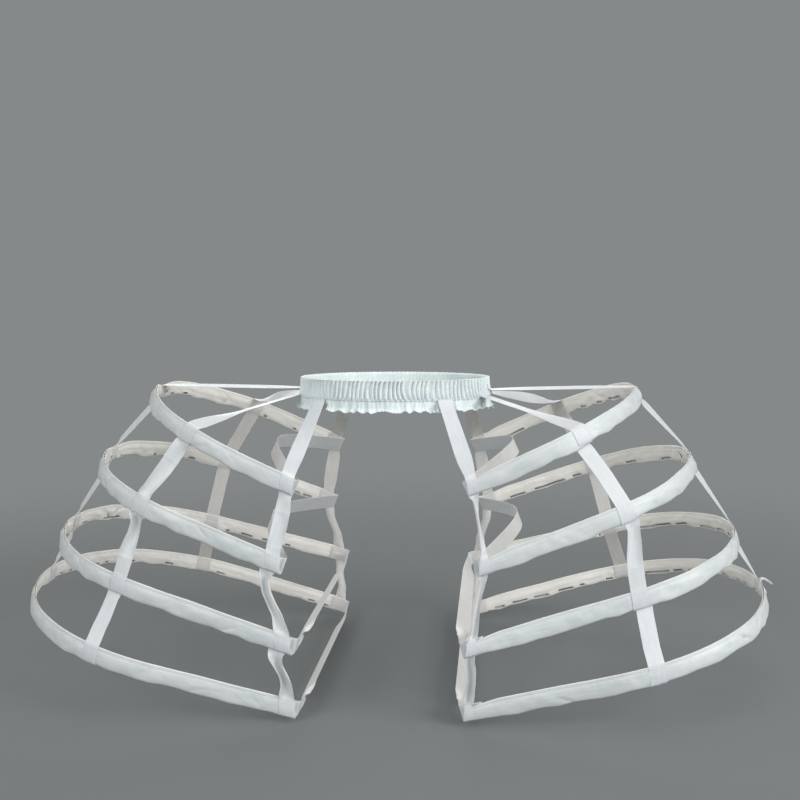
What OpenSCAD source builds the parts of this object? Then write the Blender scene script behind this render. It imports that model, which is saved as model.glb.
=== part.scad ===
// Side-hoop crinoline cage: two baskets of boned hoops hung on tapes from
// one gathered waistband, held open as they hang when worn.
// Front is -Y, up is +Z, and left and right are the wearer's own.

/* [Waistband] */
// Width of the waist that the band goes round
waist_w = 221; // [180:1:320]
// Front-to-back depth of that waist
waist_d = 166; // [140:1:260]
// Width of the elastic inside the band
elastic_w = 20; // [12:1:32]
// Thickness of the elastic
elastic_t = 1.2; // [0.8:0.1:2]
// Thickness of the band's cloth
band_cloth = 0.8; // [0.5:0.1:1.2]
// Height of the stitched seam under the elastic
band_seam = 2.6; // [1.6:0.1:5]
// Room between the elastic and its channel
elastic_gap = 0.3; // [0.2:0.1:0.8]
// Width of the opening at the back for threading the elastic
thread_w = 24; // [10:1:40]
// Number of gathers round the band
gather_count = 120; // [60:1:150]
// How far each gather stands out
gather_rise = 1.2; // [0.4:0.1:2]
// Drop of the frill below the seam
frill_h = 12; // [6:1:22]
// How far the frill leans out at its edge
frill_lean = 2.2; // [1:0.1:6]
// Swing of the frill's edge, in and out
frill_swing = 2.1; // [0.5:0.1:2.6]
// Number of waves along the frill
frill_waves = 40; // [20:1:60]
// Turn of the band round the waist, in degrees
band_turn = 6; // [-10:1:10]

/* [Hoop bones and casings] */
// Width of each flat bone
bone_w = 10; // [6:1:14]
// Thickness of each bone
bone_t = 1.2; // [0.6:0.1:2]
// Room between a bone and its channel
bone_gap = 0.3; // [0.2:0.1:0.6]
// Thickness of the casing's cloth
casing_cloth = 0.8; // [0.5:0.1:1.2]
// Spare cloth above and below the bone
casing_ease = 3; // [1:0.5:4]
// Extra fullness of the casing on each side of the bone
casing_puff = 0.6; // [0.3:0.1:1.5]
// Height of the stitched edge along the top of a casing
casing_edge = 4; // [1.5:0.5:5]
// How far each bone stops short of its casing's ends
bone_inset = 5; // [2:1:12]

/* [First hoop] */
// Drop of the hoop's ends below the waist seam
hoop1_drop = 80; // [50:1:110]
// Distance of the hoop's ends from the middle of the body
hoop1_inner = 102; // [80:1:130]
// Distance of its outermost point from the middle of the body
hoop1_reach = 293; // [270:1:310]
// Front-to-back distance between its ends
hoop1_depth = 370; // [340:1:390]
// Upward tilt of the hoop towards its outer side
hoop1_tilt = 24.4; // [15:0.1:30]
// Half angle of the nose
hoop1_nose_a = 36.5; // [30:0.5:42]
// Angle that each side has turned through where its bend ends
hoop1_side_a = 87.5; // [80:0.5:98]
// Length of the straight leg at each end
hoop1_leg_l = 57; // [40:1:80]
// Distance along the hoop from an end tape to the middle tape
hoop1_tape_at = 122; // [90:1:160]
// How far the tie bows out round the hip
hoop1_tie_bow = 46; // [0:1:60]

/* [Second hoop] */
// Drop of the hoop's ends below the waist seam
hoop2_drop = 163; // [135:1:190]
// Distance of the hoop's ends from the middle of the body
hoop2_inner = 115; // [90:1:135]
// Distance of its outermost point from the middle of the body
hoop2_reach = 357; // [330:1:380]
// Front-to-back distance between its ends
hoop2_depth = 396; // [370:1:420]
// Upward tilt of the hoop towards its outer side
hoop2_tilt = 20.4; // [12:0.1:26]
// Half angle of the nose
hoop2_nose_a = 34.5; // [28:0.5:40]
// Angle that each side has turned through where its bend ends
hoop2_side_a = 84; // [76:0.5:92]
// Length of the straight leg at each end
hoop2_leg_l = 119.5; // [90:0.5:150]
// Distance along the hoop from an end tape to the middle tape
hoop2_tape_at = 153; // [110:1:190]
// How far the tie bows out round the hip
hoop2_tie_bow = 38; // [0:1:60]

/* [Third hoop] */
// Drop of the hoop's ends below the waist seam
hoop3_drop = 247; // [220:1:275]
// Distance of the hoop's ends from the middle of the body
hoop3_inner = 102; // [80:1:130]
// Distance of its outermost point from the middle of the body
hoop3_reach = 409; // [380:1:435]
// Front-to-back distance between its ends
hoop3_depth = 424; // [395:1:445]
// Upward tilt of the hoop towards its outer side
hoop3_tilt = 15.5; // [8:0.1:21]
// Half angle of the nose
hoop3_nose_a = 34; // [28:0.5:40]
// Angle that each side has turned through where its bend ends
hoop3_side_a = 81.5; // [74:0.5:90]
// Length of the straight leg at each end
hoop3_leg_l = 175.5; // [140:0.5:200]
// Distance along the hoop from an end tape to the middle tape
hoop3_tape_at = 188; // [150:1:230]
// How far the tie bows out round the hip
hoop3_tie_bow = 0; // [0:1:50]

/* [Fourth hoop] */
// Drop of the hoop's ends below the waist seam
hoop4_drop = 320; // [300:1:360]
// Distance of the hoop's ends from the middle of the body
hoop4_inner = 100; // [80:1:130]
// Distance of its outermost point from the middle of the body
hoop4_reach = 442; // [415:1:470]
// Front-to-back distance between its ends
hoop4_depth = 408; // [385:1:440]
// Upward tilt of the hoop towards its outer side
hoop4_tilt = 14.8; // [8:0.1:20]
// Half angle of the nose
hoop4_nose_a = 25.5; // [20:0.5:32]
// Angle that each side has turned through where its bend ends
hoop4_side_a = 95; // [86:0.5:100]
// Length of the straight leg at each end
hoop4_leg_l = 152; // [120:1:180]
// Distance along the hoop from an end tape to the middle tape
hoop4_tape_at = 210; // [170:1:250]
// How far the tie bows out round the hip
hoop4_tie_bow = 0; // [0:1:50]

/* [Tapes] */
// Width of the tapes and ties
tape_w = 18; // [10:1:24]
// Thickness of the tapes and ties
tape_t = 0.8; // [0.5:0.1:1.2]
// Clearance between a tape and what it lies on
tape_gap = 0.3; // [0.2:0.1:0.6]
// Length of tape lapped onto the waistband
tape_lap = 7; // [4:1:12]
// Length from a casing to where a loop's two layers meet
loop_join = 8; // [6:1:16]
// Length of tie folded back behind a casing's end
tie_foot = 12; // [6:1:20]
// Gap between the edge of an end tape and the tie beside it
tie_gap = 1; // [0.5:0.1:4]
// Place of the end tapes on the band, in degrees from the side
end_tape_a = 50; // [35:1:65]
// Place of the middle tapes on the band, in degrees from the side
mid_tape_a = 14; // [13:1:25]
// Height above the seam at which the side tapes leave the band
side_tape_rise = 9; // [0:1:14]
// Height above the seam at which the middle tapes leave the band
mid_tape_rise = 3; // [0:1:14]
// Sideways slack of the end tapes below the second hoop
end_tape_slack = 5; // [0:0.5:10]
// Share of its width that a slack tape keeps where it is gathered in
end_tape_pinch = 0.6; // [0.4:0.05:1]

/* [Hidden] */
$fn = 144;
SIDES = ["left", "right"];
TAPES = ["front_inner", "front_middle", "side", "back_middle", "back_inner"];

satin = [0.93, 0.94, 0.95];
ribbon = [0.96, 0.96, 0.97];
cotton = [0.88, 0.93, 0.96];
steel = [0.72, 0.73, 0.75];
rubber = [0.85, 0.85, 0.82];

// Hoop values by hoop, from the top one down
drop = [hoop1_drop, hoop2_drop, hoop3_drop, hoop4_drop];
inner = [hoop1_inner, hoop2_inner, hoop3_inner, hoop4_inner];
reach = [hoop1_reach, hoop2_reach, hoop3_reach, hoop4_reach];
depth = [hoop1_depth, hoop2_depth, hoop3_depth, hoop4_depth];
tilt = [hoop1_tilt, hoop2_tilt, hoop3_tilt, hoop4_tilt];
nose_a = [hoop1_nose_a, hoop2_nose_a, hoop3_nose_a, hoop4_nose_a];
side_a = [hoop1_side_a, hoop2_side_a, hoop3_side_a, hoop4_side_a];
leg_l = [hoop1_leg_l, hoop2_leg_l, hoop3_leg_l, hoop4_leg_l];
tape_at = [hoop1_tape_at, hoop2_tape_at, hoop3_tape_at, hoop4_tape_at];
tie_bow = [hoop1_tie_bow, hoop2_tie_bow, hoop3_tie_bow, hoop4_tie_bow];

// Small vector helpers
function unit(v) = v / norm(v);
function mix(a, b, f) = a * (1 - f) + b * f;
function across(v, n) = v - n * (v * n);

// Hoop outline in its own tilted plane: u runs outwards, v backwards.
// A nose arc, a bend on each side, then straight legs to the ends. The two radii are
// those that take the arcs from the outermost point to where the legs begin.
function arm(i) = (reach[i] - inner[i]) / cos(tilt[i]);
function arcs_u(i) = arm(i) - leg_l[i] * sin(side_a[i]);
function arcs_v(i) = depth[i] / 2 - leg_l[i] * cos(side_a[i]);
function bend_of(i) = let (a = nose_a[i], b = side_a[i])
    (arcs_u(i) * sin(a) - arcs_v(i) * (1 - cos(a)))
    / ((cos(a) - cos(b)) * sin(a) - (sin(b) - sin(a)) * (1 - cos(a)));
bend_r = [for (i = [0:3]) bend_of(i)];
nose_r = [for (i = [0:3]) (arcs_v(i) - bend_r[i] * (sin(side_a[i]) - sin(nose_a[i]))) / sin(nose_a[i])];
function nose_c(i) = [arm(i) - nose_r[i], 0];
function bend_c(i) = nose_c(i) + (nose_r[i] - bend_r[i]) * [cos(nose_a[i]), sin(nose_a[i])];
function nose_run(i) = nose_r[i] * nose_a[i] * PI / 180;
function bend_run(i) = bend_r[i] * (side_a[i] - nose_a[i]) * PI / 180;
function half_run(i) = nose_run(i) + bend_run(i) + leg_l[i];

// Outward angle and place of a point at distance s from the nose, front negative
function facing_abs(i, q) =
    q < nose_run(i) ? q / nose_r[i] * 180 / PI :
    q < nose_run(i) + bend_run(i) ? nose_a[i] + (q - nose_run(i)) / bend_r[i] * 180 / PI :
    side_a[i];
function facing(i, s) = sign(s) * facing_abs(i, abs(s));
function spot_abs(i, q) =
    let (a = facing_abs(i, q), n = [cos(a), sin(a)])
    q < nose_run(i) ? nose_c(i) + nose_r[i] * n :
    bend_c(i) + bend_r[i] * n + max(0, q - nose_run(i) - bend_run(i)) * [-n[1], n[0]];
function spot(i, s) = let (p = spot_abs(i, abs(s))) [p[0], sign(s) * p[1]];

// From a hoop's plane to the part, measured from the waist seam: w is the plane's normal
function turn_up(i, d) =
    [d[0] * cos(tilt[i]) - d[2] * sin(tilt[i]), d[1], d[0] * sin(tilt[i]) + d[2] * cos(tilt[i])];
function lift(i, p) = [inner[i], 0, -drop[i]] + turn_up(i, p);

// Casing section: a puffed tube round the bone, with a flat stitched edge on top
slot_w = bone_w + 2 * bone_gap;
slot_t = bone_t + 2 * bone_gap;
puff_h = bone_w + 2 * casing_ease;
puff_t = slot_t + 2 * casing_cloth + 2 * casing_puff;
edge_t = 2 * casing_cloth;
casing_h = puff_h + casing_edge;
bone_y = -casing_edge / 2;
PUFF_STEPS = 8;
function puff_at(f) = edge_t / 2 + (puff_t - edge_t) / 2 * (1 - pow(abs(2 * f - 1), 3));
function puff_side(less) = concat(
    [for (k = [0:PUFF_STEPS]) let (f = k / PUFF_STEPS) [puff_at(f) - less, (puff_h - 2 * less) * (f - 0.5)]],
    [[edge_t / 2 - less, puff_h / 2 + casing_edge - less]]);
// Lengths of a hoop are let into each other by this much, each a hair smaller than the last
LET_IN = 0.8;
HAIR = 0.02;

// Waistband layers, measured outwards from the wearer's waist
band_h = band_seam + elastic_gap + elastic_w + elastic_gap + band_cloth;
elastic_in = band_cloth + elastic_gap;
elastic_out = elastic_in + elastic_t;
band_flat = elastic_out + elastic_gap + band_cloth;
band_full = band_flat + gather_rise;
// Four points of one gather as shares of its rise, and how its neighbours differ
GATHER = [0, 0.65, 1, 0.65];
GATHER_VARY = 0.2;
GATHER_TURN = 137;
// Points to a wave of the frill, how far it is let into the seam, and its edge's own waves
FRILL_STEPS = 6;
FRILL_SINK = 1.2;
FRILL_DIP = 0.8;
THREAD_H = 4;

// A point round the band at angle a from the wearer's left towards the back
function round_n(a) = unit([cos(a) / waist_w, sin(a) / waist_d]);
function round_p(a, off) = [waist_w / 2 * cos(a), waist_d / 2 * sin(a)] + off * round_n(a);
function gather_off(k) = band_flat
    + gather_rise * GATHER[k % 4] * (1 - GATHER_VARY + GATHER_VARY * sin(GATHER_TURN * floor(k / 4)));

// Tape path values: how far out it lies on a casing and on the band, and past a casing's edges
lie_out = puff_t / 2 + tape_gap + tape_t / 2;
lie_band = band_full + tape_gap + tape_t / 2;
over_h = max(casing_h, tape_w) / 2 + tape_gap + tape_t;
SLACK_STEPS = 8;
TWIST_STEPS = 5;
// Half the chord, as a share of a tape's width, over which its flat inner layer clears a bend
SAG_HALF = 0.7;
function sag(r) = pow(SAG_HALF * tape_w, 2) / (2 * r);
function lie_in(i, k) = lie_out + sag(bend_r[i]) + (end_tape(k) ? tape_t + tape_gap : 0);
function end_tape(k) = k == 0 || k == 4;
function tape_s(i, k) =
    k == 2 ? 0 : (k < 2 ? -1 : 1) * (half_run(i) - (end_tape(k) ? 0 : tape_at[i]));
function tape_a(k, turn) = [-end_tape_a, -mid_tape_a, 0, mid_tape_a, end_tape_a][k] - turn;
function tape_rise(k) = [0, mid_tape_rise, side_tape_rise, mid_tape_rise, 0][k];

// Frame of a crossing: centre, outward normal, direction down the tape, width direction
function cross_p(i, k) = let (p = spot(i, tape_s(i, k))) lift(i, [p[0], p[1], 0]);
function cross_n(i, k) = let (f = facing(i, tape_s(i, k))) turn_up(i, [cos(f), sin(f), 0]);
function cross_up(i) = turn_up(i, [0, 0, 1]);
function cross_down(i, k) = let (n = cross_n(i, k),
    a = i == 0 ? cross_p(0, k) : cross_p(i - 1, k), b = i == 3 ? cross_p(3, k) : cross_p(i + 1, k))
    unit(across(unit(b - a), n));
function cross_w(i, k) = cross(cross_down(i, k), cross_n(i, k));
function slant(i, k) = acos(-(cross_down(i, k) * cross_up(i)));
function half_over(i, k) = (over_h + tape_w / 2 * sin(slant(i, k))) / cos(slant(i, k));
function over(i, k, off, f) = cross_p(i, k) + off * cross_n(i, k) + f * half_over(i, k) * cross_down(i, k);

// Where a tape lies on the band: its end, then the edge that it leaves over
function band_n(k, turn) = let (n = round_n(tape_a(k, turn))) [n[0], n[1], 0];
function band_p(k, turn, z) = let (p = round_p(tape_a(k, turn), lie_band)) [p[0], p[1], z];
function band_w(k, turn) = cross([0, 0, -1], band_n(k, turn));

// Where a loop's two layers meet, above and below a casing
function join_up(i, k, turn) = let (t = over(i, k, lie_out, -1),
    far = i == 0 ? band_p(k, turn, tape_rise(k)) : over(i - 1, k, lie_out, 1))
    t + (loop_join + (i == 0 ? puff_t : 0)) * unit(far - t);
function join_down(i, k) = let (b = over(i, k, lie_out, 1))
    b + loop_join * unit(over(i + 1, k, lie_out, -1) - b);

// A ring is [centre, width direction, share of full width]
function free_ring(a, b, wa, wb, f, slack) = let (d = unit(b - a), w = unit(across(mix(wa, wb, f), d)))
    [mix(a, b, f) + slack * end_tape_slack * sin(360 * f) * w, w,
    1 - slack * (1 - end_tape_pinch) * sin(180 * f)];
function hop(a, b, wa, wb, slack) = let (n = slack ? SLACK_STEPS : TWIST_STEPS)
    [for (q = [1:n - 1]) free_ring(a, b, wa, wb, q / n, slack ? 1 : 0)];
function crossing(i, k) = [for (f = [-1, 1]) [over(i, k, lie_out, f), cross_w(i, k), 1]];
function outer_rings(k, turn) = concat(
    [[band_p(k, turn, tape_rise(k) + tape_lap), band_w(k, turn), 1],
    [band_p(k, turn, tape_rise(k)), band_w(k, turn), 1]],
    hop(band_p(k, turn, tape_rise(k)), join_up(0, k, turn), band_w(k, turn), cross_w(0, k), false),
    [for (i = [0:3]) each concat(
        [[join_up(i, k, turn), cross_w(i, k), 1]], crossing(i, k),
        i == 3 ? [[under(k, -1), cross_w(3, k), 1]] : concat([[join_down(i, k), cross_w(i, k), 1]],
        hop(join_down(i, k), join_up(i + 1, k, turn), cross_w(i, k), cross_w(i + 1, k),
            end_tape(k) && i > 0)))]);

// Middle of the fold under the last casing, where the outer layer meets the one behind it
function under(k, side) = cross_p(3, k) + (half_over(3, k) + tape_t + tape_gap) * cross_down(3, k)
    + side * tape_t / 2 * cross_n(3, k);

// The layer behind a casing, a little narrower, its ends let into the tape by half its thickness
NARROWER = 1;
function behind_rings(i, k, turn) = let (w = cross_w(i, k), n = cross_n(i, k), s = 1 - NARROWER / tape_w,
    top = join_up(i, k, turn) - tape_t / 2 * n,
    low = i == 3 ? under(k, 1) : join_down(i, k) - tape_t / 2 * n)
    [[top, w, s], [over(i, k, -lie_in(i, k), -1), w, s], [over(i, k, -lie_in(i, k), 1), w, s], [low, w, s]];

// Two triangles of a quad, split so that both faces of a twisted strip stay parallel
function quad(a, b, c, d, far_face) = far_face ? [[a, b, c], [a, c, d]] : [[a, b, d], [b, c, d]];

// A ribbon through rings: four corners each, mitred at the folds up to a limit
MITRE_MIN = 0.6;
function seg(r, j) = unit(r[j + 1][0] - r[j][0]);
function ring_pts(r, j) = let (
    a = seg(r, max(j - 1, 0)), b = seg(r, min(j, len(r) - 2)), w = r[j][1],
    d = unit(a + b), n = unit(cross(w, d)), m = tape_t / 2 / max(MITRE_MIN, d * b),
    e = w * tape_w / 2 * r[j][2], c = r[j][0])
    [c - e - m * n, c + e - m * n, c + e + m * n, c - e + m * n];
module ribbon(r) {
    last = 4 * (len(r) - 1);
    polyhedron([for (j = [0:len(r) - 1]) each ring_pts(r, j)], concat(
        [[2, 1, 0], [3, 2, 0], [last, last + 1, last + 2], [last, last + 2, last + 3]],
        [for (j = [0:len(r) - 2], q = [0:3]) let (a = 4 * j + q, b = 4 * j + (q + 1) % 4)
            each quad(a, b, b + 4, a + 4, q == 2)]));
}

// Tie: a strap that closes the hoop's open side, its ends folded behind the casing
TIE_STEPS = 14;
TIE_ROUND = 0.12;
function tie_end(i, along) = let (n = [cos(side_a[i]), sin(side_a[i])])
    [0, depth[i] / 2] - lie_out * n + along * [-n[1], n[0]];
function tie_start(i) = tie_end(i, tape_w / 2 / cos(slant(i, 0)) + over_h * tan(slant(i, 0)) + tie_gap);
function tie_round(f) = 1 - (sqrt(f * f + TIE_ROUND) - sqrt(TIE_ROUND))
    / (sqrt(1 + TIE_ROUND) - sqrt(TIE_ROUND));
function tie_half(i) = concat([tie_end(i, -tie_foot), tie_start(i)], tie_bow[i] == 0 ? [] :
    [for (q = [1:TIE_STEPS]) let (f = 1 - q / TIE_STEPS, p = tie_start(i))
        [mix(p[0], tie_bow[i] / cos(tilt[i]), tie_round(f)), p[1] * f]]);
function tie_path(i) = let (h = tie_half(i))
    concat(h, [for (q = [len(h) - (tie_bow[i] == 0 ? 1 : 2):-1:0]) [h[q][0], -h[q][1]]]);
function side_pts(p, off) = [for (j = [0:len(p) - 1]) let (
    a = unit(p[min(j + 1, len(p) - 1)] - p[min(j, len(p) - 2)]), b = unit(p[max(j, 1)] - p[max(j - 1, 0)]),
    d = unit(a + b)) p[j] + off / (d * a) * [d[1], -d[0]]];

// Height of the waist seam: the lowest of the end tapes, ties and casings rests at zero
end_rings = outer_rings(0, 0);
tape_low = -min([for (j = [0:len(end_rings) - 1], p = ring_pts(end_rings, j)) p[2]]);
tie_low = -lift(3, [tie_start(3)[0] - tape_t / 2, 0, -tape_w / 2])[2];
casing_low = -lift(3, [-tape_w / 2 * sin(side_a[3]), 0, -casing_h / 2])[2];
seam_z = max(tape_low, tie_low, casing_low);

// The right side is the left one mirrored
module on_side(side) {
    translate([0, 0, seam_z]) mirror([side == "left" ? 0 : 1, 0, 0]) children();
}
module in_hoop(i) {
    translate([inner[i], 0, -drop[i]]) rotate([0, -tilt[i], 0]) children();
}
// Carries a section along a hoop, straight on past each end tape's middle.
// The section is drawn $less smaller all round in each length further out.
module along_hoop(i, past) {
    lap = LET_IN / bend_r[i] * 180 / PI;
    translate([nose_c(i)[0], 0, 0]) rotate_extrude(angle = 2 * nose_a[i], start = -nose_a[i])
        translate([nose_r[i], 0]) let ($less = 0) children();
    for (m = [0, 1]) mirror([0, m, 0]) translate([bend_c(i)[0], bend_c(i)[1], 0]) {
        rotate_extrude(angle = side_a[i] - nose_a[i] + lap, start = nose_a[i] - lap)
            translate([bend_r[i], 0]) let ($less = HAIR) children();
        rotate([0, 0, side_a[i]]) translate([bend_r[i], leg_l[i] + past, 0]) rotate([90, 0, 0])
            linear_extrude(leg_l[i] + past + LET_IN) let ($less = 2 * HAIR) children();
    }
}

module casing(i, side) {
    color(satin) on_side(side) in_hoop(i) along_hoop(i, tape_w / 2) casing_section();
}
module casing_section() {
    half = puff_side($less);
    translate([0, bone_y]) difference() {
        polygon(concat(half, [for (k = [len(half) - 1:-1:0]) [-half[k][0], half[k][1]]]));
        square([slot_t + 2 * $less, slot_w + 2 * $less], center = true);
    }
}
module bone(i, side) {
    color(steel) on_side(side) in_hoop(i) along_hoop(i, tape_w / 2 - bone_inset)
        translate([0, bone_y]) square([bone_t - 2 * $less, bone_w - 2 * $less], center = true);
}

module tie(i, side) {
    p = tie_path(i);
    far = side_pts(p, -tape_t / 2);
    color(ribbon) on_side(side) in_hoop(i) linear_extrude(tape_w, center = true)
        polygon(concat(side_pts(p, tape_t / 2), [for (j = [len(far) - 1:-1:0]) far[j]]));
}

module tape(k, side) {
    turn = side == "left" ? band_turn : -band_turn;
    color(ribbon) on_side(side) {
        ribbon(outer_rings(k, turn));
        for (i = [0:3]) ribbon(behind_rings(i, k, turn));
    }
}

// Closed ring of points at one offset from the waist
module waist_ring(off, n) {
    polygon([for (k = [0:n - 1]) round_p(360 * k / n, off)]);
}
module frill() {
    n = frill_waves * FRILL_STEPS;
    mid = band_flat / 2;
    function wave(k) = frill_lean + frill_swing * sin(360 * k / FRILL_STEPS);
    function dip(k) = -frill_h + FRILL_DIP * cos(360 * k / FRILL_STEPS);
    function corner(k, off, z) = let (p = round_p(360 * k / n, off)) [p[0], p[1], z];
    half = band_cloth / 2;
    polyhedron([for (k = [0:n - 1]) each [
        corner(k, mid - half, FRILL_SINK), corner(k, mid + half, FRILL_SINK),
        corner(k, mid + half + wave(k), dip(k)), corner(k, mid - half + wave(k), dip(k))]],
        [for (k = [0:n - 1], q = [0:3]) let (a = 4 * k, b = 4 * ((k + 1) % n), p = (q + 1) % 4)
            each quad(a + q, b + q, b + p, a + p, q == 3)]);
}
module waistband() {
    n = 4 * gather_count;
    color(cotton) translate([0, 0, seam_z]) {
        difference() {
            linear_extrude(band_h)
                polygon([for (k = [0:n - 1]) round_p(360 * k / n, gather_off(k))]);
            translate([0, 0, -1]) linear_extrude(band_h + 2) waist_ring(0, n / 4);
            translate([0, 0, band_seam]) linear_extrude(band_h - band_seam - band_cloth) difference() {
                waist_ring(band_flat - band_cloth, n / 4);
                waist_ring(band_cloth, n / 4);
            }
            translate([-thread_w / 2, 0, band_seam])
                cube([thread_w, waist_d / 2 + band_cloth + elastic_gap, THREAD_H]);
        }
        frill();
    }
}
module waist_elastic() {
    color(rubber) translate([0, 0, seam_z + band_seam + elastic_gap]) linear_extrude(elastic_w)
        difference() {
            waist_ring(elastic_out, gather_count);
            waist_ring(elastic_in, gather_count);
        }
}

waistband();
waist_elastic();
for (s = SIDES, i = [0:3]) {
    casing(i, s);
    bone(i, s);
    tie(i, s);
}
for (s = SIDES, k = [0:4])
    tape(k, s);
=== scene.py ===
# Crinoline cage: two side baskets of cased steel hoops, hung on tapes from one gathered elastic waistband
import math
import bpy
import numpy as np
from mathutils import Matrix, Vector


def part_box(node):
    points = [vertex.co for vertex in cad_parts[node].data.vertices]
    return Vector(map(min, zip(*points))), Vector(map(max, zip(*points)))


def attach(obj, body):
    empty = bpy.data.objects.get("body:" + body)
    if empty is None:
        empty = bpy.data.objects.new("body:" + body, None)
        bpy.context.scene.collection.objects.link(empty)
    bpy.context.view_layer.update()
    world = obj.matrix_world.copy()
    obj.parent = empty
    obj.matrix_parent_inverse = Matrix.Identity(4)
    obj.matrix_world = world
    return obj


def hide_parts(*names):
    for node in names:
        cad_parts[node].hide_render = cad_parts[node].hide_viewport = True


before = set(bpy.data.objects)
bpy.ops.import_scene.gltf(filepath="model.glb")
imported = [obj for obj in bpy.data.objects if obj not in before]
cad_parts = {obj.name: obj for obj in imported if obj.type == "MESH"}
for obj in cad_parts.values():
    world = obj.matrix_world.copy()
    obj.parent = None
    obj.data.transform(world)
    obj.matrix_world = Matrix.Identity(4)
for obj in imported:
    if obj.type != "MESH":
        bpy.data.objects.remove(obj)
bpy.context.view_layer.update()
print("Frame loaded")

# All sizes below are millimetres in the part's own axes and turn to metres when a mesh is made
mm = 0.001
sides = {"left": 1, "right": -1}  # the wearer's own sides


# Small maths
def unit(v):
    return v / np.linalg.norm(v, axis=-1, keepdims=True)


def across(v, n):  # the part of v that is square to n
    return v - n * np.sum(v * n, axis=-1, keepdims=True)


def mixed(a, b, f):
    return a + (b - a) * f


def eased(f):  # from 0 to 1 with a soft start and end
    return f * f * (3 - 2 * f)


def bump(x, centre, width):
    return np.exp(-(((x - centre) / width) ** 2))


knotCount, firstKnot = 1024, 300.5  # the knots repeat after this many, and x = 0 lies well inside them


def knots(x, seed, step):  # a random value every step millimetres: the two round x, and x's place between
    values = np.random.default_rng(seed).uniform(-1, 1, knotCount)
    p = np.asarray(x, float) / step + firstKnot
    k = np.floor(p).astype(int)
    return values[k % knotCount], values[(k + 1) % knotCount], p - k


def wander(x, seed, step):  # a smooth run through the knots
    a, b, f = knots(x, seed, step)
    f = eased(f)
    return a * (1 - f) + b * f


def kinked(x, seed, step):  # straight lines from knot to knot
    a, b, f = knots(x, seed, step)
    return a * (1 - f) + b * f


# Meshes: a grid of points becomes one sheet of cloth, with its own flat coordinates in metres
def placed(name, data):  # an object of its own in the scene
    piece = bpy.data.objects.new(name, data)
    bpy.context.scene.collection.objects.link(piece)
    return piece


def smoothMesh(name, points, faces):  # points in metres
    mesh = bpy.data.meshes.new(name)
    mesh.from_pydata(points.tolist(), [], faces)
    mesh.polygons.foreach_set("use_smooth", np.ones(len(faces), bool))
    return mesh


def layFlat(mesh, uv):
    mesh.uv_layers.new(name="flat").data.foreach_set("uv", uv.astype(np.float32).ravel())


def gridMesh(name, points, acrossMm, alongMm, ring=False, holes=None):
    rows, cols = points.shape[:2]
    lastRow = rows if ring else rows - 1
    r, c = np.meshgrid(np.arange(lastRow), np.arange(cols - 1), indexing="ij")
    if holes is not None:
        keep = ~holes(r, c)
        r, c = r[keep], c[keep]
    r, c = r.ravel(), c.ravel()
    nextRow = (r + 1) % rows
    faces = np.stack([r * cols + c, r * cols + c + 1, nextRow * cols + c + 1, nextRow * cols + c], 1)
    mesh = smoothMesh(name, points.reshape(-1, 3) * mm, faces.tolist())
    u = np.asarray(acrossMm, float)[np.stack([c, c + 1, c + 1, c], 1)]
    v = np.append(alongMm, alongMm[-1] + alongMm[1] - alongMm[0])[np.stack([r, r, r + 1, r + 1], 1)]
    layFlat(mesh, np.stack([u, v], -1) * mm)
    return placed(name, mesh)


def thicken(piece, thick, even=True, reverse=0):  # the other side takes the material this many slots on
    cloth = piece.modifiers.new("thickness", "SOLIDIFY")
    cloth.thickness = thick * mm
    cloth.offset = 0
    cloth.use_even_offset = even
    cloth.material_offset = reverse
    return piece


def join(name, parts):  # several meshes become one piece
    points, faces, flats, slots = [], [], [], []
    for part in parts:
        got = part.data
        faces += [tuple(i + len(points) for i in p.vertices) for p in got.polygons]
        points += [tuple(v.co) for v in got.vertices]
        flats.append(np.array([d.uv[:] for d in got.uv_layers["flat"].data]))
        slots += [p.material_index for p in got.polygons]
        bpy.data.objects.remove(part)
    mesh = smoothMesh(name, np.array(points), faces)
    layFlat(mesh, np.concatenate(flats))
    mesh.polygons.foreach_set("material_index", slots)
    return placed(name, mesh)


def mirrored(piece):  # from the wearer's left to the right
    for v in piece.data.vertices:
        v.co.x = -v.co.x
    piece.data.flip_normals()


# A sewn stitch is a small bump: rings at these shares of its length, with these shares of its girth
stitch = {"length": 2.3, "thick": 0.42, "pitch": 3.2, "sides": 4,
          "rings": ((-0.5, 0), (-0.28, 1), (0.28, 1), (0.5, 0))}


def stitches(name, places, along, out):
    side = np.cross(along, out)
    n = stitch["sides"]
    turns = np.arange(n) / n * 2 * math.pi
    points, faces = [], []
    for p, a, o, s in zip(places, along, out, side):
        first = len(points) + 1
        second, last = first + n, first + 2 * n
        for at, girth in stitch["rings"]:
            middle, r = p + a * at * stitch["length"], stitch["thick"] / 2 * girth
            around = turns if girth else turns[:1]
            points += [middle + r * (math.cos(t) * s + math.sin(t) * o) for t in around]
        for k in range(n):
            q = (k + 1) % n
            faces += [(first - 1, first + q, first + k), (first + k, first + q, second + q, second + k),
                      (second + k, second + q, last)]
    return placed(name, smoothMesh(name, np.array(points) * mm, faces))


# Materials
def colour(hexText):  # sRGB hex to linear
    values = [int(hexText[i:i + 2], 16) / 255 for i in (1, 3, 5)]
    return tuple(v / 12.92 if v <= 0.04045 else ((v + 0.055) / 1.055) ** 2.4 for v in values) + (1,)


def emptyTree(owner):  # the node tree of a material or the world, cleared
    owner.use_nodes = True
    owner.node_tree.nodes.clear()
    return owner.node_tree


def addNode(tree, kind, values=None, links=None, **settings):
    node = tree.nodes.new(kind)
    for key, value in settings.items():
        setattr(node, key, value)
    for key, value in (values or {}).items():
        node.inputs[key].default_value = value
    for key, socket in (links or {}).items():
        tree.links.new(socket, node.inputs[key])
    return node


waveRun = 0.314  # a band texture of scale 1 repeats after this length
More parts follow.
